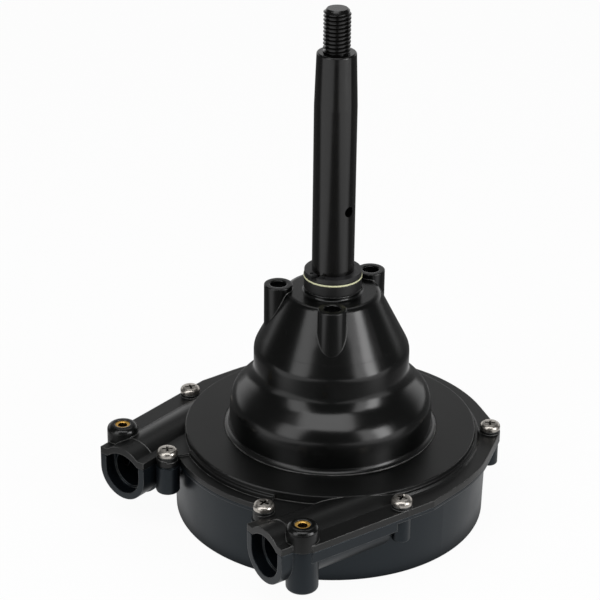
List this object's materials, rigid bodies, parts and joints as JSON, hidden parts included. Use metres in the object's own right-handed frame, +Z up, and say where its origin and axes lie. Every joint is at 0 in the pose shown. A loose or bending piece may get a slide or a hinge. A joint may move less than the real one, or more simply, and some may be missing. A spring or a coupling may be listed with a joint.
{
  "type": "mechanical steering helm",
  "caption": "Rotary steering helm for a small boat. Its shaft drives a planetary gear and a grooved wheel that moves a steering cable through ports at the drum's side.",
  "frame": {"origin": "centre of the drum's flat back face, on the shaft's axis", "axes": "+Z up the shaft towards the steering wheel, -Y towards the cable ports, +X to the right port; the YZ plane is the mirror plane"},
  "size_m": [0.1536, 0.1635, 0.2416],
  "materials": {
    "cover_plastic": "semi-gloss black, moulded",
    "drum_plastic": "satin black, moulded",
    "stainless": "bright stainless",
    "brass": "machined",
    "shaft_black": "satin black coating on steel",
    "spring_steel": "black phosphated",
    "pale_washer": "plain",
    "bearing_black": "plain",
    "wheel_alloy": "die cast",
    "gear_steel": "machined"
  },
  "bodies": {
    "housing": {"rear_housing": "drum_plastic", "front_cover": "cover_plastic", "cover_screws": "stainless", "cable_inserts": "brass", "thrust_washer": "pale_washer", "inner_washer": "gear_steel", "nose_bearing": "bearing_black", "lower_bush": "bearing_black", "wheel_thrust_washer": "pale_washer", "ring_gear": "gear_steel", "ring_gear_clip": "spring_steel"},
    "shaft": {"wheel_shaft": "shaft_black", "shaft_circlip": "spring_steel", "inner_circlip": "spring_steel"},
    "drive_wheel": {"drive_wheel": "wheel_alloy", "wheel_bush": "bearing_black", "planet_pins": "gear_steel", "planet_washers": "gear_steel", "carrier_plate": "gear_steel", "pin_clips": "spring_steel"},
    "planet_1": {"planet_gear_1": "gear_steel"},
    "planet_2": {"planet_gear_2": "gear_steel"},
    "planet_3": {"planet_gear_3": "gear_steel"}
  },
  "joints": [
    {"name": "shaft_turn", "type": "hinge", "parent": "housing", "child": "shaft", "pos_m": [0, 0, 0], "axis": [0, 0, 1], "continuous": true},
    {"name": "wheel_turn", "type": "hinge", "parent": "housing", "child": "drive_wheel", "pos_m": [0, 0, 0], "axis": [0, 0, 1], "continuous": true},
    {"name": "planet_1_turn", "type": "hinge", "parent": "drive_wheel", "child": "planet_1", "pos_m": [0, 0.0225, 0.047], "axis": [0, 0, 1], "continuous": true},
    {"name": "planet_2_turn", "type": "hinge", "parent": "drive_wheel", "child": "planet_2", "pos_m": [-0.01949, -0.01125, 0.047], "axis": [0, 0, 1], "continuous": true},
    {"name": "planet_3_turn", "type": "hinge", "parent": "drive_wheel", "child": "planet_3", "pos_m": [0.01949, -0.01125, 0.047], "axis": [0, 0, 1], "continuous": true}
  ],
  "couplings": [
    {"joint": "wheel_turn", "follows": "shaft_turn", "ratio": 0.16667},
    {"joint": "planet_1_turn", "follows": "shaft_turn", "ratio": -0.41667},
    {"joint": "planet_2_turn", "follows": "shaft_turn", "ratio": -0.41667},
    {"joint": "planet_3_turn", "follows": "shaft_turn", "ratio": -0.41667}
  ]
}
